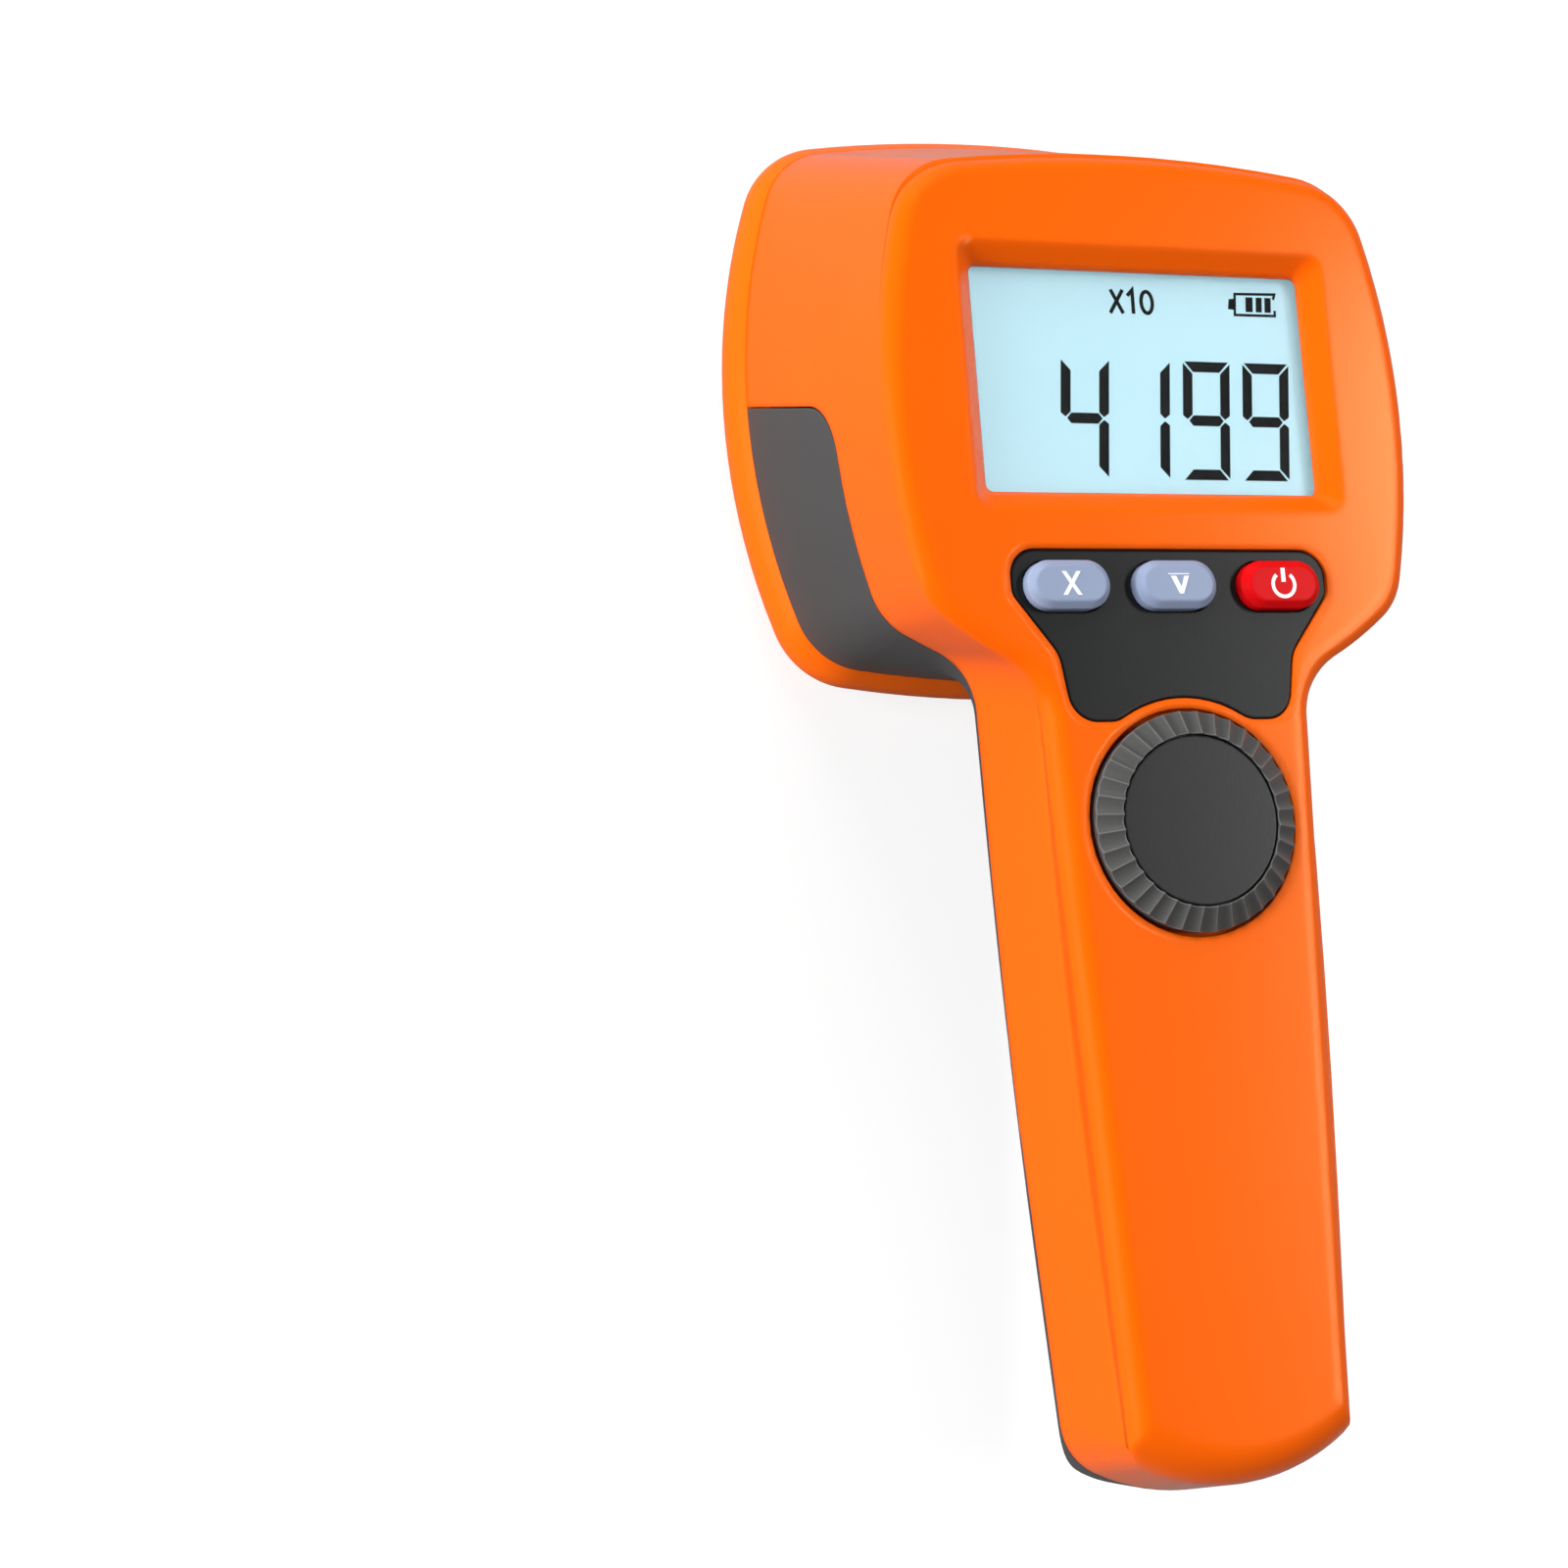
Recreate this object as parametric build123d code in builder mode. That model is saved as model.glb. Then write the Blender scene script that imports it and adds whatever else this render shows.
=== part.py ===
from build123d import *
from math import cos, pi, radians, sin, sqrt
import os

# Handheld LED stroboscope tachometer, lying on its lamp bezel with the display facing up.
# Millimetres. +Z is the display side, +Y the top of the display, the handle points to -Y.
# The origin is on the resting plane, below the middle of the whole outline.

os.makedirs("parts", exist_ok=True)

# Overall form
overall_length = 221.0  # top of the lamp bezel to the end of the handle
face_z = 59.0  # display face above the resting plane
wall = 2.4  # moulded shell wall
edge_radius = 2.8  # soft edge round the display face and the handle front
seam_gap = 0.25  # shadow gap between the two shells
overshoot = 1.0  # cutting forms run this far past the surface that they cut

# Lamp end of the head, a rounded square of four large arcs
bezel_half_width = 48.9
bezel_half_height = 47.6
bezel_side_radius = 108.0
bezel_end_radius = 210.0
bezel_corner_radius = 14.0
bezel_height = 9.5  # resting plane to the seam with the shells
bezel_round_z = 4.8  # height of the bezel's widest line
bezel_step = 2.0  # the bezel stands out past the shells by this much
bezel_band = 8.8  # width of the rounded band seen from the lamp side
bezel_land = 1.6  # flat crest that the object rests on
bezel_spigot = 3.0  # length of the rim that enters the shells
spigot_wall = 1.8
fit_gap = 0.15  # clearance of parts that are bonded or slipped together
lamp_y = overall_length / 2 - bezel_half_height  # lamp axis

# Display face of the head
face_half_width = 43.4
face_wide_y = -13.0  # widest line, from the lamp axis
face_top = 26.8  # top edge, from the lamp axis
face_chin = 57.5  # lowest point of the chin arc, from the lamp axis
face_side_radius = 112.0
face_top_radius = 225.0
face_chin_radius = 58.0
face_top_corner = 12.0
face_low_corner = 11.0

# Handle sections: distance from the lamp axis, half width of the flat front,
# half width at the parting line, height of the palm side
parting_z = 39.7
handle_root = (38.0, 22.0, 25.2, 21.5)
handle_neck = (60.0, 21.7, 24.9, 22.5)
handle_middle = (110.0, 20.6, 23.85, 25.0)
handle_end = overall_length - bezel_half_height
handle_low = (handle_end - 8.4, 17.8, 20.95, 29.5)
handle_tip = (handle_end + 5.0, 17.1, 20.25, 30.9)
handle_end_radius = 34.0  # plan radius of the rounded end
handle_corner_radius = 9.0
handle_end_edge = 6.0
handle_end_margin = 0.1  # the end's plan stands this far outside the handle's sides
handle_draft = 7.1  # degrees, of the end wall
neck_radius = 10.0
# curve of the palm side: pull inwards, share of the height, share of the width
palm_curve = (3.4, 0.45, 0.62)

# Edge of the rear shell on the head's sides, from the lamp axis
inlay_low_y = -0.3  # at the bezel seam
inlay_high_y = -8.3  # at the parting line
inlay_radius = 10.0

# Grip ridges on the palm side
ridge_count = 8
ridge_first = 88.3  # from the lamp axis
ridge_last = handle_end - 21.3
ridge_height = 1.1
ridge_long = 20.5
ridge_short = 15.1
ridge_roll = 6.0  # radius of the ridge's rounded upper side
ridge_sweep = 40  # degrees that each half ridge is turned through

# Case screws
case_screw_top = 51.0  # from the lamp axis
case_screw_low = handle_end - 5.0
case_bore = 3.05  # radius of the screw well
case_seat_z = 34.0
case_boss_radius = 4.6
front_boss_radius = 3.6
case_screw_radius = 1.5
case_head_radius = 2.75
case_head_height = 2.2
case_head_edge = 0.6
drive_length = 2.6  # cross recess of the case screws
drive_width = 0.7
drive_depth = 1.1
case_thread_z = 52.0
thread_gap = 0.05  # radial gap round a screw's thread
screw_gap = 0.2  # radial gap round a screw's shank
pilot_room = 0.5  # depth left under a screw's end
boss_low_z = 10.5

# Lamp module
plate_thickness = 2.5
plate_recess = 4.0  # depth of the lamp plate below the bezel's crest
plate_ledge = 1.5  # width of the bezel ledge that the plate seats on
plate_ring_radius = 35.75  # engraved circle
plate_ring_width = 0.4
plate_ring_depth = 0.35
lens_radius = 9.65
lens_pitch_radius = 15.4
lens_centre_y = -3.4  # centre of the lens triangle, from the lamp axis
lens_names = ("top", "left", "right")
lens_angles = (90, 210, 330)
lens_face_z = 4.3
lens_flange = 3.2
lens_cone_top_radius = 8.8
lens_tail_radius = 4.8
lens_depth = 9.3
lens_well_radius = 3.0
lens_well_depth = 3.1
lens_dimple_depth = 1.4
lens_dimple_radius = 3.6
lens_edge = 0.3
lens_gap = 0.3
holder_radius = 10.9
holder_gap = 0.25
led_board_radius = 27.5
led_board_thickness = 1.6
led_board_z = 15.0
led_base_radius = 2.7
led_base_height = 1.0
led_dome_radius = 1.6
pillar_x = 26.0
pillar_top_y = 22.0  # from the lamp axis
pillar_low_y = -26.0
pillar_radius = 3.2
sink_base = 5.0
sink_half_width = 31.0
sink_half_height = 29.0
sink_corner = 3.0
sink_fin_count = 9
sink_fin_pitch = 5.0
sink_fin_thickness = 1.8
sink_fin_height = 14.0
sink_fin_inset = 2.0
sink_screw_radius = 1.5
sink_screw_depth = 8.6
sink_head_radius = 2.8
sink_head_height = 2.0
sink_head_edge = 0.6

# Display
display_y = -7.8  # from the lamp axis
view_width = 55.9
view_height = 34.5
recess_width = 61.7  # upper edge of the sloped display recess
recess_height = 40.9
recess_corner = 2.5
recess_depth = 2.7
window_lip = 0.6
window_margin = 1.0
window_thickness = 1.2
window_land = 4.0  # width of the pad that the window is bonded to
window_land_corner = 3.0
lcd_thickness = 2.1
lcd_margin = 2.0
lcd_corner = 0.4
backlight_thickness = 3.3
frame_wall = 1.6
frame_rise = 1.0  # the frame's wall stands this far up the cell's edge

# Main board
board_z = 44.0
board_thickness = 1.6
board_half_width = 37.8
board_top_y = 15.0  # from the lamp axis
board_shoulder_y = 35.0
board_hip = (30.0, 42.5)
board_waist = (19.0, 48.0)
board_tail_top = 52.0
board_tail_half_width = 16.5
board_notch_gap = 0.6
board_tail_y = 93.0
board_post_radius = 2.6
board_post_x = 34.8
board_post_top = 5.0
board_post_low = 32.0
board_tail_post_x = 12.6
board_tail_post_y = 89.0
board_screw_radius = 1.0
board_screw_head = 1.9
board_head_height = 1.3
board_head_edge = 0.4
board_thread_z = 51.0

# Control panel and push buttons
button_y = -39.8  # from the lamp axis
button_pitch = 17.7
button_length = 13.4
button_width = 7.3
button_top_z = 61.2
button_bevel = 1.0
button_gap = 0.3
button_travel = 0.8
button_flange = 0.8
flange_thickness = 1.0
flange_gap = 0.1
button_stem_radius = 2.2
button_names = ("multiply", "down", "power")
panel_drop = 0.3  # panel surface below the orange face
panel_thickness = 1.8
panel_top = 34.2  # from the lamp axis
panel_side = 26.4
panel_shoulder_y = 41.0
panel_waist = 19.6
panel_waist_y = 50.0
panel_foot_taper = 1.5
panel_foot = 60.0
panel_knob_gap = 1.6
panel_lobe_radius = 4.5
panel_corner_radius = 4.2
panel_shoulder_radius = 2.6
panel_waist_radius = 6.0
panel_edge = 0.4
pad_thickness = 2.1
pad_margin = 2.0
switch_size = 6.0
switch_height = 3.6
plunger_radius = 1.7
plunger_gap = 0.08
plunger_low_z = 48.0
plunger_top_z = 50.2
plunger_room = 1.2

# Rotary knob
knob_y = -75.3  # from the lamp axis
knob_radius = 16.45
knob_rim_z = 60.2
knob_crown_radius = 13.0
knob_crown_z = 61.9
knob_bottom_z = 56.8
knob_wall = 2.0
knob_skirt_step = 0.25
knob_hub_radius = 5.0
knob_rib_count = 36
knob_flute_depth = 0.55
knob_cap_radius = 12.65
cap_gap = 0.2
cap_thickness = 0.9
cap_drop = 0.5
cap_edge = 0.3
well_gap = 0.65
well_depth = 3.0
shaft_radius = 3.0
shaft_gap = 0.05
press_gap = 0.02
encoder_size = 12.4
encoder_height = 6.0
encoder_floor = 1.4
bushing_top_z = 55.8
bushing_radius = 3.45
bushing_gap = 0.5

# Battery
battery_width = 25.0
battery_edge = 2.0
battery_length = 58.0
battery_thickness = 9.0
battery_top_y = 61.0  # from the lamp axis
battery_z = 30.2
cradle_thickness = 1.6
cradle_inset = 8.0


def rounded_square(half_width, wide_y, top_y, low_y, side_r, top_r, low_r, top_corner, low_corner, inset):
    """Overlap of four large discs with rounded corners, drawn in the sketch in progress."""
    with Locations(Location((half_width - side_r, wide_y, 0), (0, 0, 180))):
        Circle(side_r - inset)
    with Locations((side_r - half_width, wide_y)):
        Circle(side_r - inset, mode=Mode.INTERSECT)
    with Locations((0, top_y - top_r)):
        Circle(top_r - inset, mode=Mode.INTERSECT)
    with Locations((0, low_y + low_r)):
        Circle(low_r - inset, mode=Mode.INTERSECT)
    fillet(vertices().sort_by(Axis.Y)[2:], top_corner - inset)
    fillet(vertices().sort_by(Axis.Y)[:2], low_corner - inset)


def bezel_outline(inset):
    """Outline of the lamp end, pulled in by an inset."""
    rounded_square(bezel_half_width, lamp_y, lamp_y + bezel_half_height, lamp_y - bezel_half_height,
                   bezel_side_radius, bezel_end_radius, bezel_end_radius,
                   bezel_corner_radius, bezel_corner_radius, inset)


def face_outline(inset):
    """Outline of the display face, pulled in by an inset."""
    rounded_square(face_half_width, lamp_y + face_wide_y, lamp_y + face_top, lamp_y - face_chin,
                   face_side_radius, face_top_radius, face_chin_radius,
                   face_top_corner, face_low_corner, inset)


def head_form(inset):
    """Solid head from the bezel seam to the display face, with its walls pulled in by an inset."""
    with BuildPart() as form:
        with BuildSketch(Plane.XY.offset(bezel_height)):
            bezel_outline(bezel_step + inset)
        with BuildSketch(Plane.XY.offset(face_z - inset)):
            face_outline(inset)
        loft()
    return form.part


def handle_section(station, inset):
    """Flat front, sloped sides and a round palm side, at one distance from the lamp axis."""
    distance, front, side, palm_z = station
    pull, height_share, width_share = palm_curve
    front_z = face_z - inset
    low_z = palm_z + inset
    with BuildSketch(Plane.XZ.offset(distance - lamp_y)) as section:
        with BuildLine():
            Line((inset - front, front_z), (front - inset, front_z))
            flank = Line((front - inset, front_z), (side - inset, parting_z))
            palm = Bezier(
                (side - inset, parting_z),
                (side - inset - pull, low_z + height_share * (parting_z - low_z)),
                (width_share * (side - inset), low_z),
                (0, low_z),
            )
            mirror([flank, palm], about=Plane.YZ)
        make_face()
    return section.sketch


def plan_block(low_z, high_z, *outline):
    """Straight block over a closed outline of plan points."""
    with BuildPart() as block:
        with BuildSketch(Plane.XY.offset(low_z)):
            with BuildLine():
                Polyline(*outline, close=True)
            make_face()
        extrude(amount=high_z - low_z)
    return block.part


def upper_block():
    """Wide block over everything above the handle's lower half."""
    low_y = lamp_y - handle_middle[0] - handle_corner_radius
    return plan_block(
        0,
        face_z,
        (-overall_length, low_y),
        (overall_length, low_y),
        (overall_length, overall_length),
        (-overall_length, overall_length),
    )


def end_form(inset, spread, corner):
    """Lower half of the handle in plan: straight sides, a round end and round corners, drafted upwards."""
    middle_y = lamp_y - handle_middle[0]
    side_slope = (handle_middle[2] - handle_low[2]) / (handle_low[0] - handle_middle[0])
    half_middle = handle_middle[2] + spread - inset
    half_end = handle_low[2] - side_slope * (handle_end - handle_low[0]) + spread - inset
    arc_radius = handle_end_radius - inset
    arc_y = handle_end_radius - overall_length / 2
    side_y = arc_y - sqrt(arc_radius**2 - half_end**2)
    with BuildPart() as form:
        with BuildSketch(Plane.XY.offset(parting_z)) as plan:
            with BuildLine():
                Polyline(
                    (half_end, side_y),
                    (half_middle, middle_y),
                    (-half_middle, middle_y),
                    (-half_end, side_y),
                )
                ThreePointArc((-half_end, side_y), (0, arc_y - arc_radius), (half_end, side_y))
            make_face()
            fillet(plan.vertices().sort_by(Axis.Y)[:2], corner - inset)
        extrude(amount=face_z - parting_z, taper=handle_draft)
        extrude(plan.sketch, amount=-parting_z)
    return form.part


def handle_form(inset):
    """Solid handle with its walls pulled in by an inset and a rounded end."""
    stations = (handle_root, handle_neck, handle_middle, handle_low, handle_tip)
    sections = [handle_section(station, inset) for station in stations]
    with BuildPart() as plan:
        add(end_form(inset, handle_end_margin, handle_corner_radius))
        add(upper_block())
    with BuildPart() as form:
        loft(sections)
        add(plan.part, mode=Mode.INTERSECT)
    return form.part


def slab(low_z, high_z):
    """Wide block between two heights."""
    with BuildPart() as block:
        with BuildSketch(Plane.XY.offset(low_z)):
            Rectangle(2 * overall_length, 2 * overall_length)
        extrude(amount=high_z - low_z)
    return block.part


def rear_region(grow):
    """Side profile of the space that the rear shell fills, grown by the shadow gap."""
    with BuildPart() as region:
        with BuildSketch(Plane.YZ):
            with BuildLine():
                Polyline(
                    (lamp_y + inlay_low_y, bezel_height),
                    (lamp_y + inlay_high_y, parting_z),
                    (-overall_length, parting_z),
                    (-overall_length, -bezel_height),
                    (lamp_y + inlay_low_y, -bezel_height),
                    close=True,
                )
            make_face()
            corner = vertices().sort_by(Axis.Y)[-2:].sort_by(Axis.X)[-1]
            fillet(corner, inlay_radius)
            if grow > 0:
                offset(amount=grow)
        extrude(amount=overall_length, both=True)
    return region.part


def post(x, y, radius, low_z, high_z):
    """Round upright post."""
    with BuildPart() as column:
        with BuildSketch(Plane.XY.offset(low_z)):
            with Locations((x, y)):
                Circle(radius)
        extrude(amount=high_z - low_z)
    return column.part


def rounded_block(width, height, corner, y, low_z, high_z):
    """Rectangular block with rounded corners, centred on the object's middle line."""
    with BuildPart() as block:
        with BuildSketch(Plane.XY.offset(low_z)):
            with Locations((0, y)):
                RectangleRounded(width, height, corner)
        extrude(amount=high_z - low_z)
    return block.part


# Outer form of the closed housing, before it is divided into two shells
rim_margin = 0.3
rounding_z = face_z - edge_radius - rim_margin
with BuildPart() as face_rounding:
    neck_x = handle_neck[1] + rim_margin
    tip_x = handle_tip[1] + rim_margin
    with BuildSketch(Plane.XY.offset(rounding_z)) as rounding_plan:
        face_outline(-rim_margin)
        with BuildLine():
            Polyline(
                (-neck_x, lamp_y - handle_root[0]),
                (neck_x, lamp_y - handle_root[0]),
                (neck_x, lamp_y - handle_neck[0]),
                (tip_x, lamp_y - handle_tip[0]),
                (-tip_x, lamp_y - handle_tip[0]),
                (-neck_x, lamp_y - handle_neck[0]),
                close=True,
            )
        make_face()
        creases = rounding_plan.vertices().filter_by(lambda v: abs(abs(v.X) - neck_x) < 0.01)
        fillet(creases.sort_by(Axis.Y)[-2:], neck_radius)
    extrude(amount=face_z - rounding_z)
    rim = face_rounding.faces().sort_by(Axis.Z)[-1]
    fillet(rim.edges(), edge_radius)
    add(slab(0, rounding_z))

# Large roundings of the handle's end: over the front edge, and over the palm side's edge
end_spread = 3.4  # the rounding leaves the handle's sides alone
with BuildPart() as front_end_rounding:
    add(end_form(0, end_spread, handle_corner_radius + end_spread / 2))
    front_rim = front_end_rounding.faces().sort_by(Axis.Z)[-1]
    fillet(front_rim.edges(), handle_end_edge)
    add(upper_block())

palm_slope = (handle_low[3] - handle_middle[3]) / (handle_low[0] - handle_middle[0])
palm_end_z = handle_low[3] + palm_slope * (handle_end - handle_low[0])
with BuildPart() as palm_end_rounding:
    with BuildSketch(Plane.YZ):
        middle_y = lamp_y - handle_middle[0]
        end_y = -overall_length / 2
        with BuildLine():
            Polyline(
                (end_y, face_z),
                (middle_y, face_z),
                (middle_y, handle_middle[3] - handle_end_edge / 2),
                (end_y, palm_end_z),
                close=True,
            )
        make_face()
        fillet(vertices().sort_by(Axis.X)[:2].sort_by(Axis.Y)[0], handle_end_edge)
    extrude(amount=overall_length, both=True)
    add(upper_block())

with BuildPart() as plain_housing:
    add(head_form(0))
    add(handle_form(0))
    add(palm_end_rounding.part, mode=Mode.INTERSECT)
    add(front_end_rounding.part, mode=Mode.INTERSECT)
    neck_creases = plain_housing.edges().filter_by(
        lambda edge: lamp_y - handle_neck[0] < edge.center().Y < lamp_y - handle_root[0]
        and abs(edge.center().X) < handle_root[2]
        and bezel_height + 1 < edge.center().Z < face_z - 0.01
    )
    fillet(neck_creases, neck_radius)
    add(face_rounding.part, mode=Mode.INTERSECT)


def palm_height(x, y):
    """Height of the palm side's surface over a plan point."""
    hits = plain_housing.part.find_intersection_points(Axis((x, y, 0), (0, 0, 1)))
    return min(point.Z for point, normal in hits)


# Finger ridges: flat towards the handle's end, rolled off towards the head, and tapered to both sides
with BuildPart() as ridges:
    for index in range(ridge_count):
        share = index / (ridge_count - 1)
        ridge_y = lamp_y - ridge_first - (ridge_last - ridge_first) * share
        half_length = (ridge_long + (ridge_short - ridge_long) * share) / 2
        crest_z = palm_height(0, ridge_y) - ridge_height
        rise = palm_height(half_length, ridge_y) - crest_z
        dome = (half_length**2 + rise**2) / (2 * rise)
        with BuildSketch(Plane.YZ) as ridge_profile:
            with Locations((ridge_y, crest_z + ridge_roll)):
                Circle(ridge_roll)
            with Locations((ridge_y - ridge_roll, crest_z)):
                Rectangle(2 * ridge_roll, 4 * ridge_roll, mode=Mode.SUBTRACT)
            with Locations((ridge_y, crest_z + 2 * ridge_roll)):
                Rectangle(4 * ridge_roll, 3 * ridge_roll, mode=Mode.SUBTRACT)
        ridge_axis = Axis((0, ridge_y, crest_z + dome), (0, 1, 0))
        revolve(ridge_profile.sketch, ridge_axis, revolution_arc=ridge_sweep)
    mirror(about=Plane.YZ)

with BuildPart() as housing:
    add(plain_housing.part)
    add(ridges.part)

# Heights inside the display stack, from the face down
recess_floor_z = face_z - recess_depth
window_top_z = recess_floor_z - window_lip
window_low_z = window_top_z - window_thickness
lcd_top_z = window_low_z - fit_gap
lcd_low_z = lcd_top_z - lcd_thickness
backlight_low_z = lcd_low_z - backlight_thickness
board_top_z = board_z + board_thickness
inner_face_z = face_z - wall
mid_wall_z = face_z - wall / 2
window_width = view_width + 2 * window_margin
window_height = view_height + 2 * window_margin
lcd_width = view_width + 2 * lcd_margin
lcd_height = view_height + 2 * lcd_margin
display_centre_y = lamp_y + display_y
button_row_y = lamp_y + button_y
button_x = (-button_pitch, 0, button_pitch)
knob_centre = (0, lamp_y + knob_y)
panel_top_z = face_z - panel_drop
panel_low_z = panel_top_z - panel_thickness
pad_low_z = panel_low_z - pad_thickness
well_radius = knob_radius + well_gap
well_floor_z = face_z - well_depth


def panel_sketch(height, grow):
    """Control panel outline: wide over the buttons, waisted, hollowed out round the knob."""
    shoulder_y = lamp_y - panel_shoulder_y
    waist_y = lamp_y - panel_waist_y
    with BuildSketch(Plane.XY.offset(height)) as outline:
        with BuildLine():
            right = Polyline(
                (0, lamp_y - panel_top),
                (panel_side, lamp_y - panel_top),
                (panel_side, shoulder_y),
                (panel_waist, waist_y),
                (panel_waist - panel_foot_taper, lamp_y - panel_foot),
                (0, lamp_y - panel_foot),
            )
            mirror(right, about=Plane.YZ)
        make_face()
        with Locations(knob_centre):
            Circle(well_radius + panel_knob_gap, mode=Mode.SUBTRACT)
        fillet(outline.vertices().group_by(Axis.Y)[0], panel_lobe_radius)
        fillet(outline.vertices().filter_by(lambda v: abs(v.Y - waist_y) < 0.01), panel_waist_radius)
        fillet(outline.vertices().filter_by(lambda v: abs(v.Y - shoulder_y) < 0.01), panel_shoulder_radius)
        fillet(outline.vertices().group_by(Axis.Y)[-1], panel_corner_radius)
        if grow != 0:
            offset(amount=grow)
    return outline.sketch


def button_slots(height, grow):
    """The three button outlines, side by side, grown by a clearance."""
    with BuildSketch(Plane.XY.offset(height)) as slots:
        with Locations(*[(x, button_row_y) for x in button_x]):
            SlotOverall(button_length + 2 * grow, button_width + 2 * grow)
    return slots.sketch


# Screw posts of the main board, from the lamp axis
board_posts = (
    (-board_post_x, lamp_y + board_post_top),
    (board_post_x, lamp_y + board_post_top),
    (-board_post_x, lamp_y - board_post_low),
    (board_post_x, lamp_y - board_post_low),
    (-board_tail_post_x, lamp_y - board_tail_post_y),
    (board_tail_post_x, lamp_y - board_tail_post_y),
)
case_posts = ((0, lamp_y - case_screw_top), (0, lamp_y - case_screw_low))

# Inner features of the front shell: pads behind the window, the panel and the knob, and screw posts
with BuildPart() as front_features:
    add(
        rounded_block(
            window_width + 2 * window_land,
            window_height + 2 * window_land,
            window_land_corner,
            display_centre_y,
            window_low_z,
            mid_wall_z,
        )
    )
    extrude(panel_sketch(pad_low_z, pad_margin), amount=mid_wall_z - pad_low_z)
    add(post(*knob_centre, well_radius + pad_thickness, well_floor_z - pad_thickness, mid_wall_z))
    for x, y in board_posts:
        add(post(x, y, board_post_radius, board_top_z, mid_wall_z))
    for x, y in case_posts:
        add(post(x, y, front_boss_radius, parting_z, mid_wall_z))
    add(housing.part, mode=Mode.INTERSECT)

# Front shell: display face, head walls and handle front in one moulding
with BuildPart() as front_shell:
    add(housing.part)
    add(head_form(wall), mode=Mode.SUBTRACT)
    add(handle_form(wall), mode=Mode.SUBTRACT)
    add(rear_region(seam_gap), mode=Mode.SUBTRACT)
    add(front_features.part)
    # sloped recess, window opening and the rebate that the window is bonded into
    with BuildSketch(Plane.XY.offset(recess_floor_z)):
        with Locations((0, display_centre_y)):
            RectangleRounded(view_width, view_height, recess_corner / 2)
    with BuildSketch(Plane.XY.offset(face_z)):
        with Locations((0, display_centre_y)):
            RectangleRounded(recess_width, recess_height, recess_corner)
    loft(mode=Mode.SUBTRACT)
    add(
        rounded_block(
            view_width,
            view_height,
            recess_corner / 2,
            display_centre_y,
            window_low_z - overshoot,
            face_z,
        ),
        mode=Mode.SUBTRACT,
    )
    add(
        rounded_block(
            window_width + 2 * fit_gap,
            window_height + 2 * fit_gap,
            recess_corner / 2,
            display_centre_y,
            window_low_z - overshoot,
            window_top_z,
        ),
        mode=Mode.SUBTRACT,
    )
    # recess of the control panel with the button openings
    extrude(panel_sketch(panel_low_z, fit_gap), amount=face_z - panel_low_z, mode=Mode.SUBTRACT)
    extrude(button_slots(pad_low_z - overshoot, button_gap), amount=face_z - pad_low_z, mode=Mode.SUBTRACT)
    # knob well with the hole for the encoder's bushing
    add(post(*knob_centre, well_radius, well_floor_z, face_z + overshoot), mode=Mode.SUBTRACT)
    add(post(*knob_centre, bushing_radius + bushing_gap, well_floor_z - wall * 2, face_z), mode=Mode.SUBTRACT)
    # pilot holes
    for x, y in board_posts:
        pilot_radius = board_screw_radius + thread_gap
        pilot_top_z = board_thread_z + pilot_room
        add(post(x, y, pilot_radius, board_top_z - overshoot, pilot_top_z), mode=Mode.SUBTRACT)
    for x, y in case_posts:
        pilot_radius = case_screw_radius + thread_gap
        add(post(x, y, pilot_radius, parting_z - overshoot, case_thread_z + pilot_room), mode=Mode.SUBTRACT)
front_shell.part.label = "front_shell"
export_step(front_shell.part, "parts/front_shell.step")

# Inner features of the rear shell: screw bosses and the ribs that cradle the battery
with BuildPart() as rear_features:
    for x, y in case_posts:
        add(post(x, y, case_boss_radius, boss_low_z, parting_z))
    for y in (battery_top_y + cradle_inset, battery_top_y + battery_length - cradle_inset):
        with BuildSketch(Plane.XZ.offset(y - lamp_y)):
            with Locations((0, battery_z / 2)):
                Rectangle(overall_length, battery_z)
        extrude(amount=cradle_thickness / 2, both=True)
    add(housing.part, mode=Mode.INTERSECT)

# Rear shell: palm side of the handle and the underside and lower sides of the head
with BuildPart() as rear_shell:
    add(housing.part)
    add(head_form(wall), mode=Mode.SUBTRACT)
    add(handle_form(wall), mode=Mode.SUBTRACT)
    add(rear_features.part)
    add(rear_region(0), mode=Mode.INTERSECT)
    for x, y in case_posts:
        add(post(x, y, case_bore, 0, case_seat_z), mode=Mode.SUBTRACT)
        shank_radius = case_screw_radius + screw_gap
        add(post(x, y, shank_radius, case_seat_z - overshoot, parting_z + overshoot), mode=Mode.SUBTRACT)
rear_shell.part.label = "rear_shell"
export_step(rear_shell.part, "parts/rear_shell.step")

# The two case screws, driven from the palm side into the front shell
with BuildPart() as case_screws:
    for x, y in case_posts:
        add(post(x, y, case_head_radius, case_seat_z - case_head_height, case_seat_z))
        add(post(x, y, case_screw_radius, case_seat_z - case_head_height / 2, case_thread_z))
    heads = case_screws.faces().filter_by(Axis.Z).group_by(Axis.Z)[0]
    fillet(heads.edges(), case_head_edge)
    with BuildSketch(Plane.XY.offset(case_seat_z - case_head_height)):
        with Locations(*case_posts):
            Rectangle(drive_length, drive_width)
            Rectangle(drive_width, drive_length)
    extrude(amount=drive_depth, mode=Mode.SUBTRACT)
case_screws.part.label = "case_screws"
export_step(case_screws.part, "parts/case_screws.step")

# Rim of the bezel that enters the shells' mouth
with BuildPart() as spigot:
    add(head_form(wall + fit_gap))
    add(head_form(wall + fit_gap + spigot_wall), mode=Mode.SUBTRACT)
    add(slab(bezel_height, bezel_height + bezel_spigot), mode=Mode.INTERSECT)

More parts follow.
